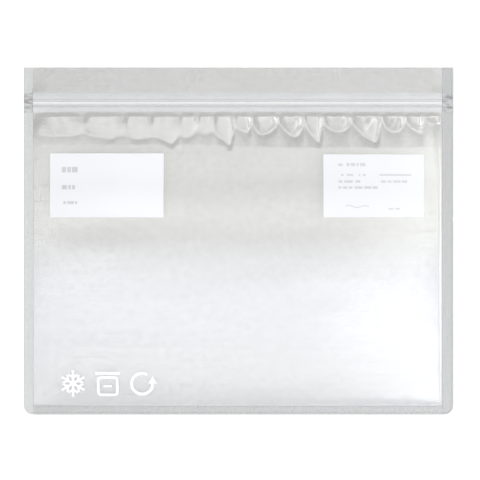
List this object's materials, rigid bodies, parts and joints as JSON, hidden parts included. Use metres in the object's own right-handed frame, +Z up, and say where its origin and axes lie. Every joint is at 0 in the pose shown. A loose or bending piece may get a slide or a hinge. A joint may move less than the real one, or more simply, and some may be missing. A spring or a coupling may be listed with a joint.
{
  "type": "reusable food storage bag",
  "caption": "Flat clear soft-film food bag, lying down, with a press-to-close zip under an open lip, welded sides and bottom, and white label panels.",
  "frame": {"origin": "middle of the bag's outline, on the underside of the rear film", "axes": "+X across the bag's width, +Y from the bottom weld to the mouth, +Z up through the thickness, front wall on top"},
  "size_m": [0.27, 0.218, 0.0093],
  "materials": {
    "clear_film": "clear soft film, glossy",
    "welded_film": "clear film, heat sealed, satin",
    "zip_plastic": "milky clear, glossy",
    "white_label": "smooth satin white"
  },
  "bodies": {
    "rear_wall": {"rear_film": "clear_film", "left_side_weld": "welded_film", "right_side_weld": "welded_film", "bottom_weld": "welded_film", "male_zip_strip": "zip_plastic", "left_zip_end_weld": "zip_plastic", "right_zip_end_weld": "zip_plastic", "rear_lip": "clear_film"},
    "front_wall": {"front_film": "clear_film", "female_zip_strip": "zip_plastic", "front_lip": "clear_film", "write_on_panel": "white_label", "info_panel": "white_label"}
  },
  "joints": [
    {"name": "mouth_open", "type": "hinge", "parent": "rear_wall", "child": "front_wall", "pos_m": [0, -0.1034, 0.0008], "axis": [1, 0, 0], "range_deg": [0, 10]}
  ]
}
